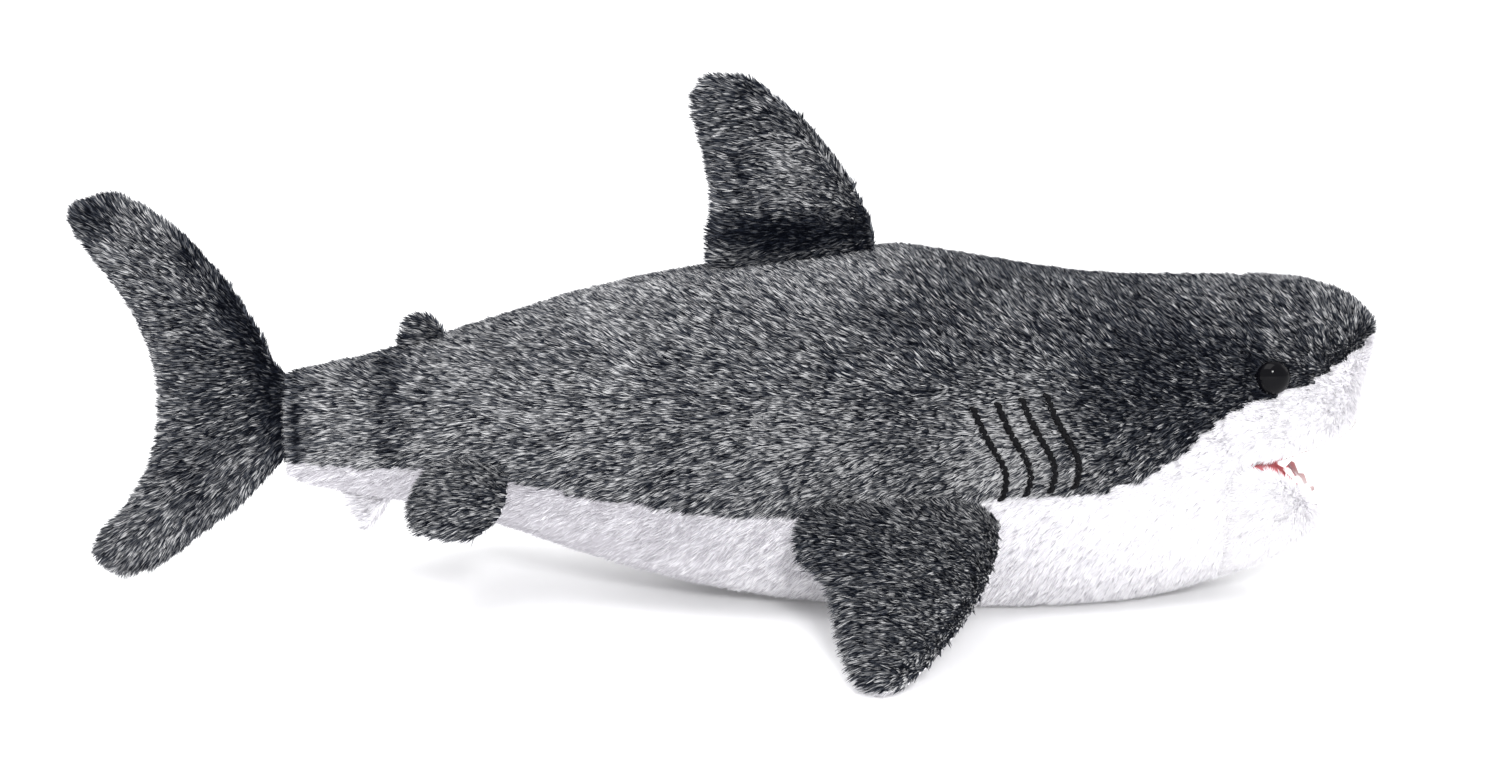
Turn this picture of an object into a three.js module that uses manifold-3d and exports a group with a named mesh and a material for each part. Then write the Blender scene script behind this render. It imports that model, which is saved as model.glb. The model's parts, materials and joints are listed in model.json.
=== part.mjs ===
// A stuffed toy shark, half a metre long, lying on its belly with its mouth a little open.
// It is cut and sewn from pile fabric: each skin panel is a shell of fabric over polyester filling.
// Millimetres, +X towards the nose, +Z up, standing on z = 0.
import * as THREE from 'three';
import { mergeVertices } from 'three/addons/utils/BufferGeometryUtils.js';
import Module from 'manifold-3d';

const wasm = await Module();
wasm.setup();

// Driving dimensions.
const PILE = 2.5;            // how far the fur stands out of the fabric
const FABRIC = 2;            // fabric with its backing
const GAP = 0.3;             // between two pieces that touch
const WIDE = 120;            // half the width of every cutting block
const FULLNESS = 2.3;        // 2 would be an ellipse, more is a fuller stuffed section
const BODY_AROUND = 22;
const BODY_ALONG = 19;
const FIN_AROUND = 10;
const CENTRE_X = -1.68;        // brings the middle of the length to x = 0

const SNOUT_SEAM_X = 201;    // the dart in front of the gills, just behind the eye
const CORNER = [199, 60];    // corner of the mouth, and the jaw's hinge
const LINING = 1.5;
const EYE = { x: 209, z: 94, radius: 6.8, dome: 4.8, shank: 2.4, length: 13, washer: 6.5 };
const THREAD = 0.7;

// Colours and finishes.
const grey = new THREE.MeshStandardMaterial({ color: 0x4a4e54, roughness: 0.95 });
const white = new THREE.MeshStandardMaterial({ color: 0xf2f0f2, roughness: 0.95 });
const pink = new THREE.MeshStandardMaterial({ color: 0xd98a8f, roughness: 0.9 });
const felt = new THREE.MeshStandardMaterial({ color: 0xf7f7f5, roughness: 0.9 });
const fibre = new THREE.MeshStandardMaterial({ color: 0xe6e6e2, roughness: 1 });
const thread = new THREE.MeshStandardMaterial({ color: 0x111114, roughness: 0.6 });
const gloss = new THREE.MeshStandardMaterial({ color: 0x08080a, roughness: 0.08 });
const nylon = new THREE.MeshStandardMaterial({ color: 0xd8d8d4, roughness: 0.6 });

// The outline over the fur, by length. Each row is x, top, bottom, half width, height of the widest place.
const TRUNK = [
  [-172.3, 90, 42, 8, 66], [-165, 91, 40.5, 12, 66], [-150, 93, 38, 17, 66], [-128, 97, 36.5, 23.5, 66],
  [-107, 103.5, 32, 31, 67], [-84, 110.5, 26, 39, 67], [-47, 121.5, 14, 50, 66],
  [-9, 128.5, 4, 57, 65], [30, 134, -2, 61, 64], [66, 137.5, -5, 61.5, 63],
  [100, 132.5, -6.5, 59.5, 62], [135, 126.9, -6.5, 55, 62], [168, 125.4, -2, 48.5, 64],
  [190, 125.8, 4, 43, 67], [206, 126.4, 10, 38, 71], [220, 126, 20, 33, 77],
  [232, 124, 33, 27, 84], [242, 120.5, 52, 20.5, 93], [249, 116, 74, 14, 100],
  [255.5, 107.5, 104, 1.5, 106],
];
const JAW = [
  [190, 90, 5, 43, 66], [200, 90, 8, 40, 64], [208, 85, 11, 37.5, 58],
  [216, 75, 14.5, 33.5, 50], [223, 66, 17.5, 28, 43.5], [229, 55, 21.5, 21, 38],
  [233.5, 46, 25.5, 13, 35], [237, 34, 32, 1.5, 33],
];

// Seams and lips as seen from the side.
const SEAM = [
  [-180, 52], [-125, 54], [-82, 53], [-46, 49], [-9, 45.5], [28, 43.5], [66, 46], [102, 51],
  [132, 51.5], [151, 54.5], [171, 63.5], [185, 75], [196, 83], [206, 85], [219, 87.6],
  [228, 91.2], [238, 96.2], [249, 102], [262, 107.5],
];
const LIP_END = 240;          // in front of the jaw
const UPPER_LIP = [
  [199, 60], [206, 59.5], [213, 60], [221, 62], [232, 64], [240, 66], [247, 69.5], [262, 74],
];
const LOWER_LIP = [
  [199, 60], [206, 58], [213, 55], [219, 49.5], [224, 44], [229, 38], [233, 33], [LIP_END, 25],
];
const CHEEK_TOP_X = 188;     // where the seam behind the cheek meets the grey
const THROAT_X = 194;        // foot of the belly's front edge
const JAW_BACK_X = 200.5;    // foot of the jaw's back edge, which leaves room to open

// Rows of numbers as a smooth function of their first column.
function smooth(rows) {
  const size = rows[0].length - 1;
  const at = new THREE.CubicInterpolant(
    rows.map((row) => row[0]), rows.flatMap((row) => row.slice(1)), size, new Float32Array(size));
  return (x) => Array.from(at.evaluate(x));
}

function solid(geometry) {
  const bare = new THREE.BufferGeometry();
  bare.setAttribute('position', geometry.getAttribute('position'));
  bare.setIndex(geometry.index);
  const merged = mergeVertices(bare, 1e-4);
  return new wasm.Manifold(new wasm.Mesh({
    numProp: 3,
    vertProperties: merged.attributes.position.array,
    triVerts: new Uint32Array(merged.index.array),
  }));
}

function mesh(name, made, material) {
  const { numProp, vertProperties, triVerts } = made.getMesh();
  const geometry = new THREE.BufferGeometry();
  const places = new THREE.InterleavedBuffer(vertProperties, numProp);
  geometry.setAttribute('position', new THREE.InterleavedBufferAttribute(places, 3, 0));
  geometry.setIndex(new THREE.BufferAttribute(triVerts, 1));
  const flat = geometry.toNonIndexed();
  flat.computeVertexNormals();
  const result = new THREE.Mesh(flat, material);
  result.name = name;
  return result;
}

// Moves every vertex of a unit cylinder that stands along Y: along runs from 0 to 1, angle round it.
function reshape(around, along, place) {
  const tube = new THREE.CylinderGeometry(1, 1, 1, around, along);
  const at = tube.getAttribute('position');
  for (let i = 0; i < at.count; i += 1) {
    const [x, y, z] = [at.getX(i), at.getY(i), at.getZ(i)];
    const rim = Math.min(1, Math.hypot(x, z));
    at.setXYZ(i, ...place(0.5 - y, Math.atan2(x, z), rim));
  }
  return tube;
}

const bulge = (value) => Math.sign(value) * Math.abs(value) ** (2 / FULLNESS);

// A stuffed body from its rows, shrunk on every side by inset, and flat where it lies on the ground.
function stuffed(rows, inset, along = BODY_ALONG) {
  const [first, last] = [rows[0][0], rows.at(-1)[0]];
  const shape = smooth(rows);
  const floor = Math.max(0, inset - PILE);
  const least = 1.5 - inset / 5;
  const tube = reshape(BODY_AROUND, along, (share, angle, rim) => {
    const eased = 0.55 * share + 0.45 * Math.sin(share * Math.PI / 2);
    const [top, bottom, half, widest] = shape(first + (last - first) * eased);
    const x = first + inset + (last - first - 2 * inset) * eased;
    const up = bulge(Math.cos(angle));
    const rise = Math.max((up > 0 ? top - widest : widest - bottom) - inset, least);
    const y = rim * Math.max(half - inset, least) * bulge(Math.sin(angle));
    return [x, y, Math.max(widest + rim * rise * up, floor)];
  });
  return solid(tube);
}

// A block across the whole width, with the given outline from the side.
function block(outline, from = -WIDE, to = WIDE) {
  const shape = new THREE.Shape(outline.map(([x, z]) => new THREE.Vector2(x, z)));
  const slab = new THREE.ExtrudeGeometry(shape, { depth: to - from, bevelEnabled: false });
  return solid(slab.rotateX(Math.PI / 2).translate(0, to, 0));
}

// Points along a seam or lip between two x, raised by lift; every line uses the same steps.
function line(rows, from, to, lift = 0, step = 9) {
  const height = smooth(rows);
  const [low, high] = [Math.min(from, to), Math.max(from, to)];
  const xs = [low];
  for (let x = Math.ceil((low + 0.01) / step) * step; x < high - 0.01; x += step) xs.push(x);
  xs.push(high);
  const chord = (x) => {
    const [left, right] = [Math.floor(x / step) * step, Math.ceil(x / step) * step];
    if (left === right) return height(x)[0];
    const share = (x - left) / (right - left);
    return height(left)[0] * (1 - share) + height(right)[0] * share;
  };
  const points = xs.map((x) => [x, chord(x) + lift]);
  return from < to ? points : points.toReversed();
}

const HIGH = 170;
const LOW = -30;
const TAIL_END = -180;
const NOSE_END = 260;

// Half the width of the fabric's outside at a place on the body.
const trunkShape = smooth(TRUNK);
function halfWidth(x, z, inset = PILE) {
  const [first, last] = [TRUNK[0][0], TRUNK.at(-1)[0]];
  const share = (x - first - inset) / (last - first - 2 * inset);
  const [top, bottom, half, widest] = trunkShape(first + (last - first) * share);
  const rise = z > widest ? top - widest : widest - bottom;
  const level = Math.min(1, Math.abs(z - widest) / (rise - inset));
  return (half - inset) * (1 - level ** FULLNESS) ** (1 / FULLNESS);
}

const outside = stuffed(TRUNK, PILE);
const inside = stuffed(TRUNK, PILE + FABRIC);
const core = stuffed(TRUNK, PILE + FABRIC + 2 * GAP);
const skin = outside.subtract(inside);
const jawOutside = stuffed(JAW, PILE, 8);
const jawInside = stuffed(JAW, PILE + FABRIC, 8);
const jawCore = stuffed(JAW, PILE + FABRIC + 2 * GAP, 8);

const toy = new THREE.Group();
const body = new THREE.Group();
toy.add(body);
body.position.x = CENTRE_X;

// The eye: a black dome on a shank that goes through the skin, held by a washer inside.
function eyeParts(side) {
  const y = side * halfWidth(EYE.x, EYE.z);
  const reach = 4;
  const slope = (halfWidth(EYE.x + reach, EYE.z) - halfWidth(EYE.x - reach, EYE.z)) / (2 * reach);
  const away = new THREE.Vector3(-slope, side, 0).normalize();
  const turn = new THREE.Quaternion().setFromUnitVectors(new THREE.Vector3(0, 1, 0), away);
  const place = (geometry) => geometry.applyQuaternion(turn).translate(EYE.x, y, EYE.z);
  const lathe = (points, around = 14) =>
    new THREE.LatheGeometry(points.map(([r, h]) => new THREE.Vector2(r, h)), around);
  const lift = 1.1;
  const dome = [90, 62, 35, 10].map((a) => THREE.MathUtils.degToRad(a))
    .map((a) => [EYE.radius * Math.cos(a), lift + 1 + (EYE.dome - 1) * Math.sin(a)]).reverse();
  const eye = [[0, -EYE.length], [EYE.shank, -EYE.length], [EYE.shank, lift], [EYE.radius, lift],
    ...dome.slice(0, -1), [0, lift + EYE.dome]];
  const under = -(FABRIC + 3);
  const [bore, thick] = [EYE.shank + GAP, 1.4];
  const ring = [[bore, under - thick], [EYE.washer, under - thick], [EYE.washer, under],
    [bore, under], [bore, under - thick]];
  const hole = new THREE.CylinderGeometry(EYE.shank + 0.5, EYE.shank + 0.5, 12, 12);
  const pocket = new THREE.CylinderGeometry(EYE.washer + 1, EYE.washer + 1, 20, 12).translate(0, -5, 0);
  return {
    eye: solid(place(lathe(eye))), washer: solid(place(lathe(ring))),
    hole: solid(place(hole)), pocket: solid(place(pocket)),
  };
}
const eyes = { right: eyeParts(-1), left: eyeParts(1) };

// Grey panels: one side each from the tail to the dart, and one each over the snout.
for (const [side, from, to] of [['right', -WIDE, -GAP / 2], ['left', GAP / 2, WIDE]]) {
  const back = block([...line(SEAM, TAIL_END, SNOUT_SEAM_X - GAP / 2, GAP / 2),
    [SNOUT_SEAM_X - GAP / 2, HIGH], [TAIL_END, HIGH]], from, to);
  const snout = block([...line(SEAM, SNOUT_SEAM_X + GAP / 2, NOSE_END, GAP / 2),
    [NOSE_END, HIGH], [SNOUT_SEAM_X + GAP / 2, HIGH]], from, to);
  body.add(mesh(`back_panel_${side}`, skin.intersect(back), grey));
  body.add(mesh(`snout_panel_${side}`, skin.intersect(snout).subtract(eyes[side].hole), grey));
}

// White panels: the belly from the tail to the throat, and the cheeks with the upper lip.
const cheekFoot = [CORNER[0] - GAP, CORNER[1]];
const belly = block([[TAIL_END, LOW], [THROAT_X, LOW], [THROAT_X, 5], cheekFoot,
  ...line(SEAM, CHEEK_TOP_X, TAIL_END, -GAP / 2)]);
const cheeks = block([CORNER, ...line(UPPER_LIP, CORNER[0] + 1, NOSE_END),
  ...line(SEAM, NOSE_END, CHEEK_TOP_X + GAP, -GAP / 2)]);
body.add(mesh('belly_panel', skin.intersect(belly), white));
body.add(mesh('upper_lip_panel', skin.intersect(cheeks), white));

// The mouth: pink linings over the filling, and the white jaw under them.
const mouthRoof = line(UPPER_LIP, CORNER[0] + 1, NOSE_END, LINING + GAP);
const jawRoom = block([[CORNER[0] - 1, CORNER[1] + LINING + GAP], [THROAT_X - GAP, 5], [THROAT_X - GAP, LOW],
  [NOSE_END, LOW], ...mouthRoof.toReversed()]);
const pockets = eyes.right.pocket.add(eyes.left.pocket);
const filling = core.subtract(jawRoom).subtract(pockets);
body.add(mesh('body_filling', filling, fibre));
const palate = block([...line(UPPER_LIP, CORNER[0] + 3, NOSE_END),
  ...line(UPPER_LIP, NOSE_END, CORNER[0] + 3, LINING)]);
body.add(mesh('palate_lining', core.intersect(palate), pink));

const jaw = new THREE.Group();
body.add(jaw);
const jawBack = [[CORNER[0] + 1.5, CORNER[1] - 1.5], [JAW_BACK_X, 5], [JAW_BACK_X, LOW], [NOSE_END, LOW]];
const lipRun = (lift) => line(LOWER_LIP, LIP_END, CORNER[0] + 4, lift, 5);
const jawBlock = (lift) => block([...jawBack.slice(0, 3), [LIP_END, LOW], ...lipRun(lift)]);
jaw.add(mesh('jaw_panel', jawOutside.subtract(jawInside).intersect(jawBlock(0)), white));
jaw.add(mesh('jaw_filling', jawCore.intersect(jawBlock(-LINING - GAP)), fibre));
const floorCloth = block([...lipRun(0), ...lipRun(-LINING).toReversed()]);
jaw.add(mesh('mouth_floor_lining', jawCore.intersect(floorCloth), pink));

// A strip of felt teeth that follows the inside of a lip from one side round the front to the other.
function teeth({ lip, from, shape, rows, inset, height, count, thick = 1.2, points }) {
  const outline = [];
  const steps = 60;
  const lipAt = smooth(lip);
  const front = rows.at(-1)[0];
  for (let i = 0; i <= steps; i += 1) {
    const x = from + (front - from) * Math.sin(i / steps * Math.PI / 2);
    const z = lipAt(x)[0];
    const [top, bottom, half, widest] = shape(x);
    const rise = z > widest ? top - widest : widest - bottom;
    const share = Math.abs(z - widest) / rise;
    if (share >= 1) break;
    const y = half * (1 - share ** FULLNESS) ** (1 / FULLNESS) - inset;
    if (y <= 0) break;
    outline.push(new THREE.Vector3(x, -y, z));
  }
  const nose = outline.at(-1).clone().setY(0);
  const mirrored = outline.map((p) => p.clone().setY(-p.y)).reverse();
  const path = new THREE.CatmullRomCurve3([...outline, nose, ...mirrored], false, 'centripetal');
  const marks = path.getSpacedPoints(count * 2);
  const outer = marks.map((p, i) => {
    const share = Math.sin(i / (marks.length - 1) * Math.PI);
    return [p, i % 2 === 1 ? height * (0.6 + 0.4 * share) : 1.2];
  });
  const inward = (i) => {
    const before = marks[Math.max(0, i - 1)];
    const after = marks[Math.min(marks.length - 1, i + 1)];
    return new THREE.Vector3(before.y - after.y, after.x - before.x, 0).normalize().multiplyScalar(thick);
  };
  const at = [];
  outer.forEach(([p, drop], i) => {
    const q = p.clone().add(inward(i));
    const [here, behind] = [p.x, q.x].map((x) => lipAt(x)[0] + points * 3 * GAP);
    const tip = points * drop;
    at.push(p.x, p.y, here, p.x, p.y, here + tip, q.x, q.y, behind, q.x, q.y, behind + tip);
  });
  const faces = [];
  const quad = (a, b, c, d) => faces.push(a, b, c, a, c, d);
  for (let i = 0; i < marks.length - 1; i += 1) {
    const [a, b] = [4 * i, 4 * i + 4];
    quad(a, a + 1, b + 1, b);
    quad(a + 2, b + 2, b + 3, a + 3);
    quad(a, b, b + 2, a + 2);
    quad(a + 1, a + 3, b + 3, b + 1);
  }
  const z = 4 * (marks.length - 1);
  quad(0, 2, 3, 1);
  quad(z, z + 1, z + 3, z + 2);
  const geometry = new THREE.BufferGeometry();
  geometry.setAttribute('position', new THREE.BufferAttribute(new Float32Array(at), 3));
  geometry.setIndex(points < 0 ? faces : faces.toReversed());
  return solid(geometry);
}
body.add(mesh('upper_teeth', teeth({
  lip: UPPER_LIP, from: 212, shape: trunkShape, rows: TRUNK, inset: 6.5, height: 5, count: 17, points: -1,
}), felt));
jaw.add(mesh('lower_teeth', teeth({
  lip: LOWER_LIP, from: 215, shape: smooth(JAW), rows: JAW, inset: 7, height: 4.2, count: 11, points: 1,
}), felt));

for (const side of ['right', 'left']) {
  body.add(mesh(`eye_${side}`, eyes[side].eye, gloss));
  body.add(mesh(`eye_washer_${side}`, eyes[side].washer, nylon));
}

// Four gill lines a side, sewn in black thread that lies on the fabric.
const GILLS = { back: 96, step: 9.1, top: 87, rise: 1.1, foot: 51.5 };
for (const [side, sign] of [['right', -1], ['left', 1]]) {
  for (let n = 0; n < 4; n += 1) {
    const foot = GILLS.foot + n * GILLS.rise;
    const top = GILLS.top + n * GILLS.rise * 1.2;
    const bow = [[-3, 1], [0.5, 0.73], [6.5, 0.48], [10.5, 0.28], [10.2, 0.12], [8.5, 0]];
    const route = bow.map(([dx, share]) => {
      const [x, z] = [GILLS.back + n * GILLS.step + dx, foot + (top - foot) * share];
      return new THREE.Vector3(x, sign * (halfWidth(x, z) + THREAD + 2 * GAP), z);
    });
    const section = new THREE.Shape();
    section.moveTo(THREAD, 0).lineTo(0, THREAD).lineTo(-THREAD, 0).lineTo(0, -THREAD);
    const line3 = new THREE.ExtrudeGeometry(section, {
      extrudePath: new THREE.CatmullRomCurve3(route), steps: 5, curveSegments: 3, bevelEnabled: false,
    });
    body.add(mesh(`gill_stitch_${side}_${n + 1}`, solid(line3), thread));
  }
}

// A stuffed fin in its own plane: x along the root, z along the span, y through the thickness.
// Each row is the front edge's x and z, the rear edge's x and z, and half the thickness over the fur.
function fin(rows, inset, along = rows.length) {
  const middles = rows.map(([fx, fz, rx, rz]) => new THREE.Vector2((fx + rx) / 2, (fz + rz) / 2));
  const span = [0];
  for (let i = 1; i < rows.length; i += 1) span.push(span[i - 1] + middles[i].distanceTo(middles[i - 1]));
  const at = smooth(rows.map((row, i) => [span[i], ...row]));
  const length = span.at(-1) - 2 * inset;
  const out = middles[1].clone().sub(middles[0]);
  const hand = Math.sign(out.cross(new THREE.Vector2(rows[0][0] - rows[0][2], rows[0][1] - rows[0][3])));
  return solid(reshape(FIN_AROUND, along, (share, angle, rim) => {
    const [fx, fz, rx, rz, thick] = at(inset + length * (share - Math.sin(share * 2 * Math.PI) * 0.07));
    const half = Math.hypot(fx - rx, fz - rz) / 2;
    const reach = rim * Math.cos(angle) * (half - inset) / half;
    const across = hand * rim * (thick - inset) * Math.sin(angle);
    return [(fx + rx) / 2 + reach * (fx - rx) / 2, across, (fz + rz) / 2 + reach * (fz - rz) / 2];
  }));
}

// Two panels sewn round the edge, with filling between them. The first panel faces +y.
function finParts(name, rows, labels, colours) {
  const whole = fin(rows, PILE);
  const thin = Math.max(...rows.map((row) => row[4])) < 7;
  const shell = thin ? whole : whole.subtract(fin(rows, PILE + FABRIC));
  const parts = [
    mesh(`${name}_panel_${labels[0]}`, shell.trimByPlane([0, 1, 0], GAP / 2), colours[0]),
    mesh(`${name}_panel_${labels[1]}`, shell.trimByPlane([0, -1, 0], GAP / 2), colours[1]),
  ];
  if (!thin) parts.push(mesh(`${name}_filling`, fin(rows, PILE + FABRIC + GAP), fibre));
  return parts;
}

function placed(parts, position, turnX = 0, turnZ = 0) {
  const group = new THREE.Group();
  group.rotation.set(turnX, 0, turnZ, 'ZYX');
  group.position.set(...position);
  group.add(...parts);
  body.add(group);
}

// Upright fins, in the toy's own x and z.
const DORSAL = [
  [62, 134.4, -8, 125.3, 5], [61.5, 139, -8, 132, 8.5], [58.5, 147, -5.5, 146, 10.5],
  [52, 160, -6, 163, 10], [42, 175, -9.8, 181, 8.5], [25, 192, -13, 195, 7], [8.5, 204, -8, 202, 5.8],
];
const TAIL = [
  [-236, 3.5, -249, 14, 5.8], [-226, 5.5, -245.5, 23, 6.8], [-212, 13.5, -236, 32.5, 8],
  [-194, 29.5, -226, 47, 9], [-173, 42.5, -221.5, 60, 9.5], [-168, 64, -219.8, 72, 10],
  [-168, 86, -220.1, 83, 10], [-176.5, 103, -223.3, 97.7, 9.5], [-188.5, 122, -232, 117.5, 9],
  [-204.5, 141, -243.5, 133, 8], [-219, 152, -252, 145, 7], [-233, 159.5, -252, 151.5, 5.8],
];
const SECOND_DORSAL = [
  [-103.5, 100, -128.5, 92.4, 4.4], [-105.5, 104.5, -126.5, 99.5, 5], [-109, 108.6, -124, 107, 4.2],
  [-112.5, 111.6, -121, 111, 3.6],
];
const ANAL = [
  [-125.5, 40, -151, 42.8, 4.4], [-129, 33, -148.5, 35.5, 5], [-134.5, 26, -144, 27, 4.2],
  [-137, 21, -142.5, 21.5, 3.6],
];
placed(finParts('dorsal_fin', DORSAL, ['left', 'right'], [grey, grey]), [0, 0, 0]);
placed(finParts('tail_fin', TAIL, ['left', 'right'], [grey, grey]), [0, 0, 0]);
placed(finParts('second_dorsal_fin', SECOND_DORSAL, ['left', 'right'], [grey, grey]), [0, 0, 0]);
placed(finParts('anal_fin', ANAL, ['left', 'right'], [white, white]), [0, 0, 0]);

// Side fins, along x from their root and out along z, which then hangs out and down.
const PECTORAL = { y: 59.6, z: 47, droop: 30 };
const PECTORAL_ROWS = [
  [104, -2.2, 29, -2.2, 5.2], [106, 5, 26, 5, 8.5], [106, 14, 24.5, 13, 9.5], [102.5, 28, 27, 26, 10],
  [98, 40, 37.5, 36.5, 10], [91, 53, 40, 53, 9.5], [81, 68.5, 42.3, 70, 8.5], [72, 80, 46.5, 81, 7],
  [63, 88, 53, 88.5, 5.8],
];
const PELVIC = { x: -96.5, y: 32.3, z: 54.2, droop: 45, splay: 20 };
const PELVIC_ROWS = [
  [15, -2.2, -17, -2.2, 5.2], [19.5, 4, -20.5, 4, 7.4], [20.5, 12, -22, 12, 8], [18, 20, -20, 20, 7.4],
  [10, 28, -13, 28, 5.6],
];
for (const [side, sign] of [['right', 1], ['left', -1]]) {
  const labels = sign > 0 ? ['top', 'under'] : ['under', 'top'];
  const colours = sign > 0 ? [grey, white] : [white, grey];
  const turn = (droop) => sign * THREE.MathUtils.degToRad(90 + droop);
  placed(finParts(`pectoral_fin_${side}`, PECTORAL_ROWS, labels, colours),
    [0, -sign * PECTORAL.y, PECTORAL.z], turn(PECTORAL.droop));
  placed(finParts(`pelvic_fin_${side}`, PELVIC_ROWS, labels, colours),
    [PELVIC.x, -sign * PELVIC.y, PELVIC.z],
    turn(PELVIC.droop), -sign * THREE.MathUtils.degToRad(PELVIC.splay));
}

export default toy;
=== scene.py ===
import json
import math
import bmesh
import bpy
from mathutils import Matrix, Vector
from mathutils.bvhtree import BVHTree

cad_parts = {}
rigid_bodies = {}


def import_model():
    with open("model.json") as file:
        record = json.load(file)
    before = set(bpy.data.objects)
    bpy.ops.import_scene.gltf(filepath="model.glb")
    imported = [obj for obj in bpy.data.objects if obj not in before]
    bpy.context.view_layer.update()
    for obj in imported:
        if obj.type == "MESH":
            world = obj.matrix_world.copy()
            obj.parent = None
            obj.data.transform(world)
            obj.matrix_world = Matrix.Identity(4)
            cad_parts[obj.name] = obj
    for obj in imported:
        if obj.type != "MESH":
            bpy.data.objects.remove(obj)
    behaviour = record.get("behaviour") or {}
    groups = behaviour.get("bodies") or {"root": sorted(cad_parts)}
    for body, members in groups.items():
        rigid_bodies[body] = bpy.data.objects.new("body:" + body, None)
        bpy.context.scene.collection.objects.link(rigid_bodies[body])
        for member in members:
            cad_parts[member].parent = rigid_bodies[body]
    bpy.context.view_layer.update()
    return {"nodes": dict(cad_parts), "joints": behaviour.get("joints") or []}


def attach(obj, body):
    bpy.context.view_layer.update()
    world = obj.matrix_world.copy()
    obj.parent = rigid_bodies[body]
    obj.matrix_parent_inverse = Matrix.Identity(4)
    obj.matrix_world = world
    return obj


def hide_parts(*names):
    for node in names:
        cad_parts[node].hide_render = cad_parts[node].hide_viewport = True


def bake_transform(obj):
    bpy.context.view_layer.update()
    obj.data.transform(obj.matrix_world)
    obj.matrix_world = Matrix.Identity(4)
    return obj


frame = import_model()
MM = 0.001
scene = bpy.context.scene

# The view: a long lens level with the toy's right side and a little above it. The toy lies on a
# white table under a wide soft light from above, with a smaller one in front and weak ones at the
# nose and behind.
CAMERA_AIM = Vector((9, 0, 83)) * MM
CAMERA_FAR, CAMERA_RISE, CAMERA_LENS = 1300 * MM, math.radians(14), 80.5
eye_line = Vector((0, -math.cos(CAMERA_RISE), math.sin(CAMERA_RISE)))
camera = bpy.data.objects.new("camera", bpy.data.cameras.new("camera"))
camera.data.lens = CAMERA_LENS
camera.location = CAMERA_AIM + eye_line * CAMERA_FAR
camera.rotation_euler = eye_line.to_track_quat("Z", "Y").to_euler()
scene.collection.objects.link(camera)
scene.camera = camera
scene.view_settings.view_transform = "Standard"

for name, place, size, power in (
    ("light_above", (-0.25, -0.35, 1.3), 1.1, 13.0),
    ("light_front", (0.2, -1.5, 0.8), 0.26, 18.0),
    ("light_nose", (1.3, 0.3, 0.7), 0.8, 3.0),
    ("light_back", (-0.5, 1.5, 0.8), 0.8, 6.0),
):
    lamp = bpy.data.objects.new(name, bpy.data.lights.new(name, "AREA"))
    lamp.data.energy = power
    lamp.data.size = size
    lamp.location = place
    lamp.rotation_euler = (Vector(place) - CAMERA_AIM).to_track_quat("Z", "Y").to_euler()
    scene.collection.objects.link(lamp)
scene.world = bpy.data.worlds.new("studio")
scene.world.use_nodes = True
scene.world.node_tree.nodes["Background"].inputs["Color"].default_value = (1, 1, 1, 1)
scene.world.node_tree.nodes["Background"].inputs["Strength"].default_value = 1.0


class Wire:
    """One socket of a node tree. Sums and products of wires add their own Math nodes."""

    def __init__(self, tree, socket=None):
        self.tree, self.socket = tree, socket

    def node(self, kind, out=0, ramp=(), inputs=(), **settings):
        made = self.tree.nodes.new(kind)
        for key, value in settings.items():
            setattr(made, key, value)
        for place, colour in ramp:
            stop = made.color_ramp.elements.new(place)
            stop.color = (*colour, 1)
        for _ in range(2 if ramp else 0):
            made.color_ramp.elements.remove(made.color_ramp.elements[0])
        for key, value in dict(inputs).items():
            if isinstance(value, Wire):
                self.tree.links.new(value.socket, made.inputs[key])
            else:
                made.inputs[key].default_value = value
        return Wire(self.tree, made.outputs[out])

    def maths(self, operation, *terms):
        return self.node("ShaderNodeMath", inputs=enumerate(terms), operation=operation)

    def __add__(self, other):
        return self.maths("ADD", self, other)

    def __sub__(self, other):
        return self.maths("SUBTRACT", self, other)

    def __rsub__(self, other):
        return self.maths("SUBTRACT", other, self)

    def __mul__(self, other):
        return self.maths("MULTIPLY", self, other)

    __radd__, __rmul__ = __add__, __mul__


def material(name, **constants):
    """A Principled material with constants on its own sockets, and a wire to its tree."""
    made = bpy.data.materials.new(name)
    made.use_nodes = True
    shader = made.node_tree.nodes["Principled BSDF"]
    for key, value in constants.items():
        shader.inputs[key.replace("_", " ")].default_value = value
    return made, shader, Wire(made.node_tree)


def feed(wires, shader, key, wire):
    wires.tree.links.new(wire.socket, shader.inputs[key])


# The table top: matt white board, wide enough to run out of sight. It is part of the room and not
# of the toy.
TABLE_SIZE = 14.0
table_mesh = bmesh.new()
bmesh.ops.create_grid(table_mesh, x_segments=1, y_segments=1, size=TABLE_SIZE / 2)
table = bpy.data.objects.new("table", bpy.data.meshes.new("table"))
table_mesh.to_mesh(table.data)
scene.collection.objects.link(table)
board, _, _ = material("board", Base_Color=(0.93, 0.93, 0.94, 1), Roughness=0.7,
                       Emission_Color=(1, 1, 1, 1), Emission_Strength=0.08)
table.data.materials.append(board)

# The torso: seven panels of pile fabric sewn edge to edge and stuffed with polyester fibre. The
# seams stay where they are sewn, and the cloth between them is pushed out by the filling.
GREY_BACKING, WHITE_BACKING = (0.02, 0.022, 0.028), (0.88, 0.87, 0.9)
PINK = (0.62, 0.2, 0.22)
GROUND_CLEARANCE = 0.8 * MM
RESTING = 1.5 * MM          # cloth lower than this lies on the table, and hardly moves
SMOOTHING = (0.5, -0.53) * 12
SIMULATED_FRAMES = 20


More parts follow.
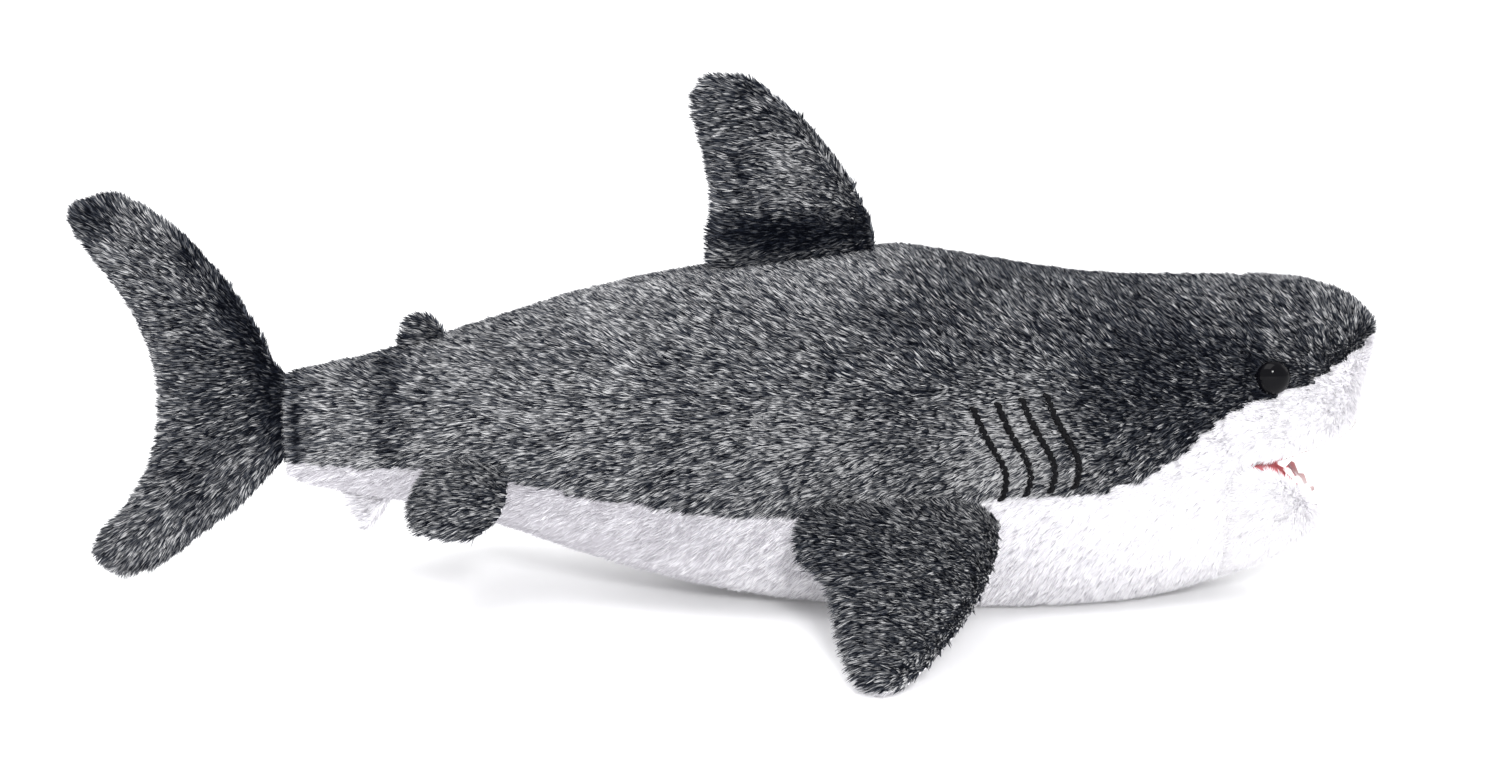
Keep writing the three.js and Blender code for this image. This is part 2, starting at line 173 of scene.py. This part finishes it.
def fabric(name, dark, light, knots=900):
    """Knitted backing with its pile brushed flat: mottled in tone, and rough in fine rows."""
    made, shader, wires = material(name, Roughness=0.92, Specular_IOR_Level=0.1)
    place = wires.node("ShaderNodeTexCoord", out="Object")
    patches = wires.node("ShaderNodeTexNoise", inputs={"Vector": place, "Scale": 45.0, "Detail": 4.0})
    tufts = wires.node("ShaderNodeTexNoise", inputs={"Vector": place, "Scale": knots, "Detail": 2.0})
    tone = patches * 0.4 + tufts * 0.6
    feed(wires, shader, "Base Color", wires.node(
        "ShaderNodeValToRGB", inputs={"Fac": tone}, ramp=((0.3, dark), (0.7, light))))
    feed(wires, shader, "Normal", wires.node(
        "ShaderNodeBump", inputs={"Height": tufts, "Strength": 0.5, "Distance": 0.4 * MM}))
    return made


grey_cloth = fabric("grey_backing", tuple(c * 0.6 for c in GREY_BACKING), GREY_BACKING)
white_cloth = fabric("white_backing", tuple(c * 0.85 for c in WHITE_BACKING), WHITE_BACKING)
pink_cloth = fabric("pink_lining", tuple(c * 0.7 for c in PINK), PINK, knots=1600)


def finished(name, mesh, modifiers=()):
    """A new object whose mesh is this one after some modifiers, which are applied."""
    piece = bpy.data.objects.new(name, mesh)
    scene.collection.objects.link(piece)
    for kind, settings in modifiers:
        modifier = piece.modifiers.new(kind, kind)
        for key, value in settings.items():
            setattr(modifier, key, value)
    return apply_all(piece)


def apply_all(piece):
    shaped = piece.evaluated_get(bpy.context.evaluated_depsgraph_get())
    final = bpy.data.meshes.new_from_object(shaped)
    piece.modifiers.clear()
    piece.data = final
    return piece


def stuffed(name, panels, extra, voxel, pressure, cap, cloths, filling_moves=(), sink=1.0 * MM,
            tuck=None):
    """A padded piece from copies of its CAD panels and filling: remeshed, sewn, blown up, smoothed.
    cloths gives each panel's material. Each face remembers its panel, for the pile."""
    made = bmesh.new()
    for node in (*panels, *extra):
        made.from_mesh(frame["nodes"][node].data)
    for move, nodes in filling_moves:
        before = len(made.verts)
        for node in nodes:
            made.from_mesh(frame["nodes"][node].data)
        made.verts.ensure_lookup_table()
        bmesh.ops.transform(made, verts=made.verts[before:], matrix=move)
    for layer in list(made.loops.layers.uv):
        made.loops.layers.uv.remove(layer)
    rough = bpy.data.meshes.new(name)
    made.to_mesh(rough)
    piece = finished(name, rough, [("REMESH", {"mode": "VOXEL", "voxel_size": voxel})])

    # Which panel each face belongs to, and so where the seams run.
    trees = []
    for node in panels:
        copy = bmesh.new()
        copy.from_mesh(frame["nodes"][node].data)
        trees.append(BVHTree.FromBMesh(copy))
    made = bmesh.new()
    made.from_mesh(piece.data)
    belongs = made.faces.layers.int.new("panel")
    for face in made.faces:
        spot = face.calc_center_median()
        gaps = [tree.find_nearest(spot)[3] for tree in trees]
        face[belongs] = gaps.index(min(gaps))
    seams = [e for e in made.edges if len({f[belongs] for f in e.link_faces}) > 1]
    beside = {}
    for edge in seams:
        for v in edge.verts:
            beside.setdefault(v, []).append(edge.other_vert(v))
    loose = [v for v in made.verts if v not in beside]
    for factor in SMOOTHING:
        moved = {v: v.co.lerp(sum((w.co for w in near), Vector()) / 2, factor)
                 for v, near in beside.items() if len(near) == 2}
        for v, place in moved.items():
            v.co = place
        bmesh.ops.smooth_vert(made, verts=loose, factor=factor, use_axis_x=True, use_axis_y=True,
                              use_axis_z=True)
    made.normal_update()
    for v in beside:
        v.co -= v.normal * sink
    pinned = [v.index for v in beside]
    flat = [v.index for v in made.verts if v.co.z < RESTING]
    made.to_mesh(piece.data)
    rest = [v.co.copy() for v in piece.data.vertices]

    group = piece.vertex_groups.new(name="sewn")
    group.add(pinned, 1.0, "REPLACE")
    group.add(flat, 0.8, "REPLACE")
    cloth = piece.modifiers.new("Cloth", "CLOTH")
    cloth.settings.use_pressure = True
    cloth.settings.uniform_pressure_force = pressure
    cloth.settings.vertex_group_mass = "sewn"
    cloth.settings.quality = 4
    cloth.settings.mass = 0.3
    cloth.settings.tension_stiffness = 12
    cloth.settings.compression_stiffness = 12
    cloth.settings.bending_stiffness = 0.6
    cloth.settings.effector_weights.gravity = 0
    cloth.point_cache.frame_end = SIMULATED_FRAMES
    for number in range(1, SIMULATED_FRAMES + 1):
        scene.frame_set(number)
    apply_all(piece)
    piece.vertex_groups.clear()
    scene.frame_set(1)
    for v, before in zip(piece.data.vertices, rest):
        shift = v.co - before
        if shift.length > cap:
            v.co = before + shift * (cap / shift.length)
    if tuck:
        root, inwards, reach, depth = tuck
        for v in piece.data.vertices:
            along = (v.co - root).dot(inwards) + reach
            if along > 0:
                v.co += inwards * (depth * min(1.0, along / reach))
    piece.data.materials.clear()
    order = []
    for cloth_of in cloths:
        if cloth_of not in order:
            order.append(cloth_of)
            piece.data.materials.append(cloth_of)
    for face, owner in zip(piece.data.polygons, piece.data.attributes["panel"].data):
        face.material_index = order.index(cloths[owner.value])
        face.use_smooth = True
    smooth = piece.modifiers.new("Subdivision", "SUBSURF")
    smooth.levels = smooth.render_levels = 1
    apply_all(piece)
    for v in piece.data.vertices:
        v.co.z = max(v.co.z, GROUND_CLEARANCE)
    return piece


TORSO_PANELS = ["back_panel_right", "back_panel_left", "snout_panel_right", "snout_panel_left",
                "belly_panel", "upper_lip_panel", "palate_lining"]
torso = stuffed("torso", TORSO_PANELS, ["body_filling"], 3.6 * MM, 4.0, 2.2 * MM,
                [grey_cloth] * 4 + [white_cloth] * 2 + [pink_cloth])
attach(torso, "torso")
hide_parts(*TORSO_PANELS, "body_filling")

# The pile: acrylic tufts that stand out of the backing, brushed towards the tail. A tuft is a thin
# closed spike, and each colour of pile is a mixture of yarns from dark to pale.
TUFT_LENGTH, TUFT_RADIUS, TUFT_ROOT, CLEAR_OF_THREAD = 4.5 * MM, 0.42 * MM, 0.8 * MM, 0.5 * MM
WAVINESS, TANGLE, STRAYING = 1.0, 0.9, 0.22
PARTING = 75 * MM           # the height above which the pile fans upwards, and below it downwards
MIDDLE_TONE = 0.09          # where the mixture of yarns is centred
LOWEST = 0.25 * MM          # no tuft goes through the surface the toy lies on
# The grey mixture is widened with painted light and shade: its palest yarns are painted shine, standing in
# for light caught along the fibres, and its darkest are painted shade between the tufts.
GREY_YARNS_AND_PAINTED_SHINE = ((0.003, 0.004, 0.008), (0.012, 0.015, 0.024), (0.05, 0.055, 0.068), (0.12, 0.124, 0.136),
              (0.27, 0.272, 0.282), (0.6, 0.6, 0.61))
WHITE_YARNS = ((0.52, 0.505, 0.54), (0.74, 0.73, 0.76), (0.87, 0.86, 0.88))


def yarns(name, tones, roughness):
    """A hidden collection with one tuft of each tone."""
    group = bpy.data.collections.new(name)
    for number, tone in enumerate(tones):
        finish, _, _ = material(f"{name}_{number}", Base_Color=(*tone, 1), Roughness=roughness,
                                Specular_IOR_Level=0.12)
        tuft = bmesh.new()
        bmesh.ops.create_cone(tuft, cap_ends=True, segments=3, radius1=TUFT_RADIUS, radius2=0,
                              depth=TUFT_LENGTH)
        bmesh.ops.translate(tuft, verts=tuft.verts, vec=(0, 0, TUFT_LENGTH / 2 - TUFT_ROOT))
        mesh = bpy.data.meshes.new(f"{name}_{number}")
        tuft.to_mesh(mesh)
        mesh.materials.append(finish)
        group.objects.link(bpy.data.objects.new(f"{name}_{number}", mesh))
    return group


grey_yarn = yarns("grey_yarn", GREY_YARNS_AND_PAINTED_SHINE, 0.55)
white_yarn = yarns("white_yarn", WHITE_YARNS, 0.7)


def pile(name, skin, panels, yarn, per_mm2, body, seed, between=None, lean=40, comb=(-1, 0, 0),
         fan=0.0, bias=0.0, painted_shade_and_light=(), bare=(), hem=0):
    """The pile of some panels of a padded piece, from one x to another, as a piece of its own."""
    made = bmesh.new()
    made.from_mesh(skin.data)
    belongs = made.faces.layers.int["panel"]
    for _ in range(hem):
        edge = [f for f in made.faces if f[belongs] in panels
                and any(g[belongs] not in panels for v in f.verts for g in v.link_faces)]
        for face in edge:
            face[belongs] = -1
    low, high = between or (-1, 1)
    others = [f for f in made.faces
              if f[belongs] not in panels or not low <= f.calc_center_median().x < high]
    bmesh.ops.delete(made, geom=others, context="FACES")
    ground = bpy.data.meshes.new(name)
    made.to_mesh(ground)
    piece = bpy.data.objects.new(name, ground)
    scene.collection.objects.link(piece)

    tree = bpy.data.node_groups.new(name, "GeometryNodeTree")
    tree.interface.new_socket("Geometry", in_out="INPUT", socket_type="NodeSocketGeometry")
    tree.interface.new_socket("Geometry", in_out="OUTPUT", socket_type="NodeSocketGeometry")
    wires = Wire(tree)
    cloth = wires.node("NodeGroupInput")
    points = wires.node("GeometryNodeDistributePointsOnFaces",
                        inputs={"Mesh": cloth, "Density": per_mm2 / MM ** 2, "Seed": seed})
    normal = Wire(tree, points.socket.node.outputs["Normal"])
    place = wires.node("GeometryNodeInputPosition")

    def vectors(operation, *terms, out=0, **named):
        return wires.node("ShaderNodeVectorMath", out=out, inputs=[*enumerate(terms), *named.items()],
                          operation=operation)

    def chance(low_value, high_value, number):
        return wires.node("FunctionNodeRandomValue", out=1,
                          inputs={2: low_value, 3: high_value, "Seed": seed + number})

    drift = wires.node("ShaderNodeTexNoise", out=1, inputs={"Vector": place, "Scale": 70.0, "Detail": 2.0})
    drift = vectors("SUBTRACT", drift, (0.5, 0.5, 0.5))
    clump = wires.node("ShaderNodeTexNoise", out=1, inputs={"Vector": place, "Scale": 260.0, "Detail": 1.0})
    clump = vectors("SUBTRACT", clump, (0.5, 0.5, 0.5))
    stray = wires.node("FunctionNodeRandomValue", out=0,
                       inputs={0: (-1.0,) * 3, 1: (1.0,) * 3, "Seed": seed + 7})
    high = vectors("DOT_PRODUCT", vectors("SUBTRACT", place, (0, 0, PARTING)), (0, 0, fan / MM), out=1)
    brushed = vectors("ADD", comb, wires.node("ShaderNodeCombineXYZ", inputs={"Z": high}))
    brushed = vectors("ADD", brushed, vectors("SCALE", drift, Scale=WAVINESS))
    out_of = vectors("DOT_PRODUCT", brushed, normal, out=1)
    along = vectors("NORMALIZE", vectors("SUBTRACT", brushed, vectors("SCALE", normal, Scale=out_of)))
    way = vectors("ADD", vectors("SCALE", along, Scale=math.cos(math.radians(lean))),
                  vectors("SCALE", normal, Scale=math.sin(math.radians(lean))))
    way = vectors("ADD", way, vectors("SCALE", clump, Scale=TANGLE))
    way = vectors("ADD", way, vectors("SCALE", stray, Scale=STRAYING))
    turned = wires.node("FunctionNodeAlignRotationToVector", inputs={"Vector": way}, axis="Z")

    patches = wires.node("ShaderNodeTexNoise", inputs={"Vector": place, "Scale": 16.0, "Detail": 2.0})
    lock = wires.node("ShaderNodeTexNoise", inputs={"Vector": place, "Scale": 600.0, "Detail": 0.0})
    tone = chance(0.0, 1.0, 1) * 0.85 + (lock - 0.5) * 0.9 + (patches - 0.5) * 0.6 \
        + (MIDDLE_TONE + bias)
    # Painted shade and painted light: inside each ellipse the mixture of yarns is pushed darker or paler.
    for x, z, wide, tall, amount in painted_shade_and_light:
        off = vectors("MULTIPLY", vectors("SUBTRACT", place, (x * MM, 0, z * MM)),
                      (1 / (wide * MM), 0, 1 / (tall * MM)))
        near = wires.maths("MAXIMUM", 1.3 - vectors("LENGTH", off, out=1), 0.0)
        near = wires.maths("SMOOTH_MIN", near, 1.0, 0.3)
        tone = tone + near * amount
    tone = tone * float(len(yarn.objects))
    picked = wires.node("GeometryNodeCollectionInfo", inputs={"Collection": yarn, "Separate Children": True})
    length = chance(0.7, 1.15, 3)
    thick = chance(0.7, 1.25, 4)
    stretch = wires.node("ShaderNodeCombineXYZ", inputs={"X": thick, "Y": thick, "Z": length})
    growing = True
    for thing in bare:
        shape = wires.node("GeometryNodeObjectInfo", out="Geometry", inputs={"Object": thing})
        far = wires.node("GeometryNodeProximity", out="Distance", inputs={0: shape}, target_element="FACES")
        growing = wires.maths("GREATER_THAN", far, CLEAR_OF_THREAD) * growing
    grown = wires.node("GeometryNodeInstanceOnPoints", inputs={
        "Points": points, "Selection": growing, "Instance": picked, "Pick Instance": True,
        "Instance Index": wires.maths("MINIMUM", wires.maths("MAXIMUM", tone, 0.0), len(yarn.objects) - 1.0),
        "Rotation": turned, "Scale": stretch})
    real = wires.node("GeometryNodeRealizeInstances", inputs={"Geometry": grown})
    output = tree.nodes.new("NodeGroupOutput")
    tree.links.new(real.socket, output.inputs[0])
    piece.modifiers.new("Pile", "NODES").node_group = tree
    apply_all(piece)
    for v in piece.data.vertices:
        v.co.z = max(v.co.z, LOWEST)
    if body:
        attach(piece, body)
    return piece


# The eyes: polished black plastic domes with a flat back. Each one's shank goes through the cloth
# to a washer inside the head, which holds the dome down in the pile.
EYE_RADIUS, EYE_DOME, EYE_RIM, EYE_STEPS = 6.8 * MM, 4.8 * MM, 1.6 * MM, 12
gloss, _, _ = material("eye_black", Base_Color=(0.002, 0.002, 0.003, 1), Roughness=0.04,
                       Specular_IOR_Level=0.09)
eyes = []
for side, sign in (("right", -1), ("left", 1)):
    made = bmesh.new()
    arc = [made.verts.new((0, 0, -EYE_RIM)), made.verts.new((EYE_RADIUS * 0.9, 0, -EYE_RIM)),
           made.verts.new((EYE_RADIUS, 0, 0))]
    for step in range(1, EYE_STEPS + 1):
        angle = math.pi / 2 * step / EYE_STEPS
        arc.append(made.verts.new((EYE_RADIUS * math.cos(angle), 0, EYE_DOME * math.sin(angle))))
    for one, two in zip(arc, arc[1:]):
        made.edges.new((one, two))
    bmesh.ops.spin(made, geom=made.verts[:] + made.edges[:], cent=(0, 0, 0), axis=(0, 0, 1),
                   angle=math.tau, steps=48, use_merge=True)
    bmesh.ops.remove_doubles(made, verts=made.verts, dist=0.01 * MM)
    bmesh.ops.recalc_face_normals(made, faces=made.faces)
    corners = [v.co for v in frame["nodes"][f"eye_{side}"].data.vertices]
    stem, apex = max(((one, two) for one in corners for two in corners if abs(two.y) > abs(one.y)),
                     key=lambda pair: (pair[1] - pair[0]).length)
    out = (apex - stem).normalized()
    bmesh.ops.transform(made, verts=made.verts, matrix=Matrix.Translation(apex - out * EYE_DOME)
                        @ out.to_track_quat("Z", "Y").to_matrix().to_4x4())
    mesh = bpy.data.meshes.new(f"eye_dome_{side}")
    made.to_mesh(mesh)
    mesh.materials.append(gloss)
    mesh.shade_smooth()
    eye = finished(f"eye_dome_{side}", mesh)
    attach(eye, "torso")
    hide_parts(f"eye_{side}")
    eyes.append(eye)

# The gills: four lines a side of thick black thread, sewn in short slanting stitches that press
# the pile down to the cloth.
GILL_BACK, GILL_STEP, GILL_FOOT, GILL_TOP, GILL_RISE = 94.3, 9.1, 52.5, 87.5, 1.1
GILL_BOW = ((-3, 1), (0.5, 0.73), (6.5, 0.48), (10.5, 0.28), (10.2, 0.12), (8.5, 0))
STITCH_LENGTH, STITCH_WIDTH, STITCH_PITCH, STITCH_RAISED = 3.9 * MM, 2.0 * MM, 1.35 * MM, 1.7 * MM
STITCH_SLANT = math.radians(38)
thread, shader, wires = material("black_thread", Base_Color=(0.002, 0.002, 0.003, 1), Roughness=0.5,
                                 Specular_IOR_Level=0.1)
twist = wires.node("ShaderNodeTexWave", inputs={
    "Vector": wires.node("ShaderNodeTexCoord", out="Object"), "Scale": 900.0, "Distortion": 2.0})
feed(wires, shader, "Roughness", twist * 0.25 + 0.35)
feed(wires, shader, "Normal", wires.node(
    "ShaderNodeBump", inputs={"Height": twist, "Strength": 0.6, "Distance": 0.2 * MM}))

surface = bmesh.new()
surface.from_mesh(torso.data)
torso_tree = BVHTree.FromBMesh(surface)
gills = []
for side, sign in (("right", -1), ("left", 1)):
    for line in range(4):
        foot = GILL_FOOT + line * GILL_RISE
        top = GILL_TOP + line * GILL_RISE * 1.2
        route = []
        for across, share in GILL_BOW:
            start = Vector(((GILL_BACK + line * GILL_STEP + across) * MM, sign * 0.2,
                            (foot + (top - foot) * share) * MM))
            route.append(torso_tree.ray_cast(start, Vector((0, -sign, 0)))[0])
        curve = bpy.data.curves.new("gill", "CURVE")
        curve.dimensions = "3D"
        spline = curve.splines.new("NURBS")
        spline.points.add(len(route) - 1)
        for point, place in zip(spline.points, route):
            point.co = (*place, 1)
        spline.use_endpoint_u, spline.order_u, spline.resolution_u = True, 4, 12
        run = bpy.data.objects.new("gill", curve)
        scene.collection.objects.link(run)
        curved = run.evaluated_get(bpy.context.evaluated_depsgraph_get())
        traced = [v.co.copy() for v in curved.to_mesh().vertices]
        bpy.data.objects.remove(run)
        made = bmesh.new()
        gone, number = 0.0, 0
        for one, two in zip(traced, traced[1:]):
            gone += (two - one).length
            if gone < STITCH_PITCH:
                continue
            gone -= STITCH_PITCH
            number += 1
            spot, normal, _, _ = torso_tree.find_nearest(two)
            ahead = (two - one).normalized()
            slant = STITCH_SLANT if number % 2 else -STITCH_SLANT
            ahead = (Matrix.Rotation(slant, 3, normal) @ ahead).normalized()
            frame_of = Matrix((ahead, normal.cross(ahead).normalized(), normal)).transposed().to_4x4()
            stretch = Matrix.Diagonal((STITCH_LENGTH / 2, STITCH_WIDTH / 2, STITCH_WIDTH / 2, 1))
            seat = Matrix.Translation(spot + normal * STITCH_RAISED)
            bmesh.ops.create_uvsphere(made, u_segments=8, v_segments=6, radius=1.0,
                                      matrix=seat @ frame_of @ stretch)
        mesh = bpy.data.meshes.new(f"gill_{side}_{line + 1}")
        made.to_mesh(mesh)
        mesh.materials.append(thread)
        mesh.shade_smooth()
        sewn = finished(f"gill_{side}_{line + 1}", mesh)
        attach(sewn, "torso")
        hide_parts(f"gill_stitch_{side}_{line + 1}")
        gills.append(sewn)

# Pile on the torso: grey above the seam and white below it, each panel covered in pieces of its own. It is
# left out where the thread and the eyes hold it down. The painted shade and light are x, z, half sizes and
# how much paler or darker the mixture of yarns is there: painted shade in the fold of the dart above and
# behind the eye, in the folds of the flank near the tail, on the neck and on the top of the head, and broad
# paler or darker patches elsewhere.
def on_side(things, sign):
    return [t for t in things if t.data.vertices[0].co.y * sign > 0]


GREY_PER_MM2, WHITE_PER_MM2 = 2.6, 1.9
BACK_PAINTED_SHADE_AND_LIGHT = ((166, 86, 36, 30, -0.2), (127, 120, 60, 26, -0.16), (201, 108, 9, 26, -0.14),
               (108, 70, 27, 24, 0.22), (-23, 104, 110, 45, 0.03), (-165, 66, 3.5, 30, -0.4),
               (-127, 66, 6, 40, -0.24), (-149, 70, 8, 40, 0.06), (0, 74, 90, 26, 0.09))
for side, sign, panel in (("right", -1, 0), ("left", 1, 1)):
    for part, reach in enumerate(((-0.2, -0.02), (-0.02, 0.09), (0.09, 0.3))):
        pile(f"back_{side}_pile_{part + 1}", torso, {panel}, grey_yarn, GREY_PER_MM2, "torso",
             10 + panel * 3 + part, reach, fan=0.008, painted_shade_and_light=BACK_PAINTED_SHADE_AND_LIGHT, bare=on_side(gills, sign))
    # The snout's mixture is set darker overall, with painted shade in the fold above and behind the eye and
    # painted light near the nose tip.
    pile(f"snout_{side}_pile", torso, {2 + panel}, grey_yarn, GREY_PER_MM2, "torso", 20 + panel,
         fan=0.012, bias=-0.1, painted_shade_and_light=((198, 108, 7, 26, -0.16), (235, 112, 14, 12, 0.12)),
         bare=on_side(eyes, sign))
# The belly's mixture is darker towards the tail and underneath, painted shade, and paler at the front,
# painted light.
for part, reach in enumerate(((-0.2, 0.055), (0.055, 0.3))):
    pile(f"belly_pile_{part + 1}", torso, {4}, white_yarn, 1.7, "torso", 30 + part, reach, fan=0.012,
         painted_shade_and_light=((-100, 45, 130, 70, -0.45), (190, 50, 90, 60, 0.3)))
# The cheeks' mixture is set paler, painted light on the front of the head.
pile("cheek_pile", torso, {5}, white_yarn, WHITE_PER_MM2, "torso", 33, fan=0.012, bias=0.4, bare=eyes)

# The jaw: one white panel over the filling, lined with pink inside the mouth. Its cloth runs on under the
# belly's front edge.
JAW_CORNER = Vector((197.6, 0, 60)) * MM


def drawn_back(shift, swell):
    about = Matrix.Translation(JAW_CORNER)
    wider = Matrix.Diagonal((1, swell, swell, 1))
    return Matrix.Translation((-shift, 0, 0)) @ about @ wider @ about.inverted()


JAW_SOLIDS = ["jaw_panel", "jaw_filling"]
jaw = stuffed("jaw", ["jaw_panel", "mouth_floor_lining"], ["jaw_filling"], 2.6 * MM, 3.0, 1.2 * MM,
              [white_cloth, pink_cloth],
              filling_moves=((drawn_back(6 * MM, 1.045), JAW_SOLIDS),
                             (drawn_back(11 * MM, 1.05), JAW_SOLIDS)))
# The jaw's mixture is set paler still, painted light on the front of the jaw.
jaw_pile = pile("jaw_pile", jaw, {0}, white_yarn, WHITE_PER_MM2, None, 40, between=(0.190, 1), bias=0.45)
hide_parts("jaw_panel", "jaw_filling", "mouth_floor_lining")
for piece in (jaw, jaw_pile):
    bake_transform(piece)

# The teeth: one strip of white felt for each lip, cut into points along one edge and sewn inside
# the lip by the other. The shapes are the frame's own.
felt, shader, wires = material("white_felt", Base_Color=(0.9, 0.9, 0.88, 1), Roughness=0.85, Sheen_Weight=0.3)
fibres = wires.node("ShaderNodeTexNoise", inputs={
    "Vector": wires.node("ShaderNodeTexCoord", out="Object"), "Scale": 2200.0, "Detail": 3.0})
feed(wires, shader, "Base Color", wires.node("ShaderNodeValToRGB", inputs={"Fac": fibres},
                                              ramp=((0.3, (0.8, 0.8, 0.78)), (0.7, (0.93, 0.93, 0.91)))))
feed(wires, shader, "Normal", wires.node(
    "ShaderNodeBump", inputs={"Height": fibres, "Strength": 0.4, "Distance": 0.2 * MM}))
for node in ("upper_teeth", "lower_teeth"):
    strip = frame["nodes"][node].data
    strip.materials.clear()
    strip.materials.append(felt)

# The upright fins: two panels each, sewn round the edge, turned, stuffed and sewn to the body. The
# dorsal and tail fins are padded; the second dorsal and the anal fin are only two layers of cloth.
joints = {j["name"]: j for j in frame["joints"]}


def fin(name, nodes, joint, inwards, cloths, yarn_of, voxel, pressure, cap, seed, comb,
        deep=5 * MM, bend=10 * MM, fan=0.0, bias=0.0, painted_shade_and_light=(), swell=2 * MM):
    """One stuffed fin with its pile; its root goes a little way into the torso."""
    root = Vector(joints[joint]["pos_m"])
    panels = [n for n in nodes if not n.endswith("filling")]
    extra = [n for n in nodes if n.endswith("filling")]
    skin = stuffed(name, panels, extra, voxel, pressure, cap, cloths, sink=-swell,
                   tuck=(root, inwards, 4 * MM, deep))
    coats = []
    for number, (panel, yarn) in enumerate(yarn_of):
        coats.append(pile(f"{name}_pile_{number + 1}", skin, panel, yarn,
                          2.7 if yarn == grey_yarn else WHITE_PER_MM2, None, seed + number,
                          comb=comb, fan=fan, bias=bias, painted_shade_and_light=painted_shade_and_light,
                          hem=3 if yarn == white_yarn and len(yarn_of) > 1 else 0))
    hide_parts(*nodes)
    for piece in (skin, *coats):
        root + inwards * MM
        root - inwards * bend
        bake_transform(piece)
    "grey_pile" if cloths[0] == grey_cloth else "white_pile"
    return skin


def across(joint, up):
    """Square to an upright fin's hinge, towards the torso."""
    axis = Vector(joints[joint]["axis"])
    return Vector((axis.z, 0, -axis.x)) * up


# Painted shade darkens the dorsal fin's root and the tail fin along its front edge, where they meet the body,
# and in one spot near the tail's upper tip. Painted light makes the dorsal fin paler higher up.
fin("dorsal_fin", ["dorsal_fin_panel_left", "dorsal_fin_panel_right", "dorsal_fin_filling"],
    "dorsal_fin_lean", across("dorsal_fin_lean", 1), [grey_cloth] * 2,
    (({0}, grey_yarn), ({1}, grey_yarn)), 2.6 * MM, 4.0, 2.5 * MM, 50, (-1, 0, 0.2), bias=-0.1,
    painted_shade_and_light=((27, 143, 45, 9, -0.4), (23, 169, 12, 15, 0.2)))
fin("tail_fin", ["tail_fin_panel_left", "tail_fin_panel_right", "tail_fin_filling"],
    "tail_swing", Vector((1, 0, 0)), [grey_cloth] * 2,
    (({0}, grey_yarn), ({1}, grey_yarn)), 2.6 * MM, 4.0, 2.5 * MM, 54, (-1, 0, 0),
    fan=0.014, bias=-0.05, swell=1.4 * MM,
    painted_shade_and_light=((-202, 138, 9, 14, -0.37), (-188, 119, 9, 14, -0.42), (-177, 96, 9, 14, -0.42),
            (-171, 74, 9, 14, -0.42), (-172, 54, 9, 14, -0.37), (-240, 148, 9, 9, -0.35)))
fin("second_dorsal_fin", ["second_dorsal_fin_panel_left", "second_dorsal_fin_panel_right"],
    "second_dorsal_fin_lean", across("second_dorsal_fin_lean", 1), [grey_cloth] * 2,
    (({0, 1}, grey_yarn),), 1.2 * MM, 1.0, 0.6 * MM, 58, (-1, 0, 0.3), deep=3 * MM, bend=4 * MM,
    bias=-0.1, swell=0.3 * MM)
fin("anal_fin", ["anal_fin_panel_left", "anal_fin_panel_right"],
    "anal_fin_lean", across("anal_fin_lean", -1), [white_cloth] * 2,
    (({0, 1}, white_yarn),), 1.2 * MM, 1.0, 0.6 * MM, 60, (-1, 0, -0.3), deep=3 * MM, bend=4 * MM,
    swell=0.5 * MM)

# The side fins: grey on top and white underneath, stuffed and sewn to the sides of the body, where
# they hang out and down from their roots.
for side in ("right", "left"):
    for kind, droop, voxel, seed in (("pectoral", 30, 2.6 * MM, 62), ("pelvic", 45, 1.8 * MM, 70)):
        name = f"{kind}_fin_{side}"
        axis = Vector(joints[f"{name}_lift"]["axis"])
        out = Vector((0, 0, 1)).cross(axis)
        span = out * math.cos(math.radians(droop)) - Vector((0, 0, 1)) * math.sin(math.radians(droop))
        # Painted shade darkens the pectoral fins near their roots, where they meet the body.
        fin(name, [f"{name}_panel_top", f"{name}_panel_under", f"{name}_filling"], f"{name}_lift",
            -span, [grey_cloth, white_cloth], (({0}, grey_yarn), ({1}, white_yarn)),
            voxel, 3.5, 2.0 * MM, seed + (3 if side == "left" else 0), Vector((-1, 0, 0)) + span * 0.6,
            bias=-0.04, painted_shade_and_light=((38, 42, 20, 12, -0.15), (71, 39, 25, 10, -0.12)))

# The washers: moulded nylon rings pushed on to the eyes' shanks inside the head, where nothing of
# them shows.
nylon, _, _ = material("nylon", Base_Color=(0.8, 0.8, 0.78, 1), Roughness=0.5)
for side in ("right", "left"):
    ring = frame["nodes"][f"eye_washer_{side}"].data
    ring.materials.clear()
    ring.materials.append(nylon)
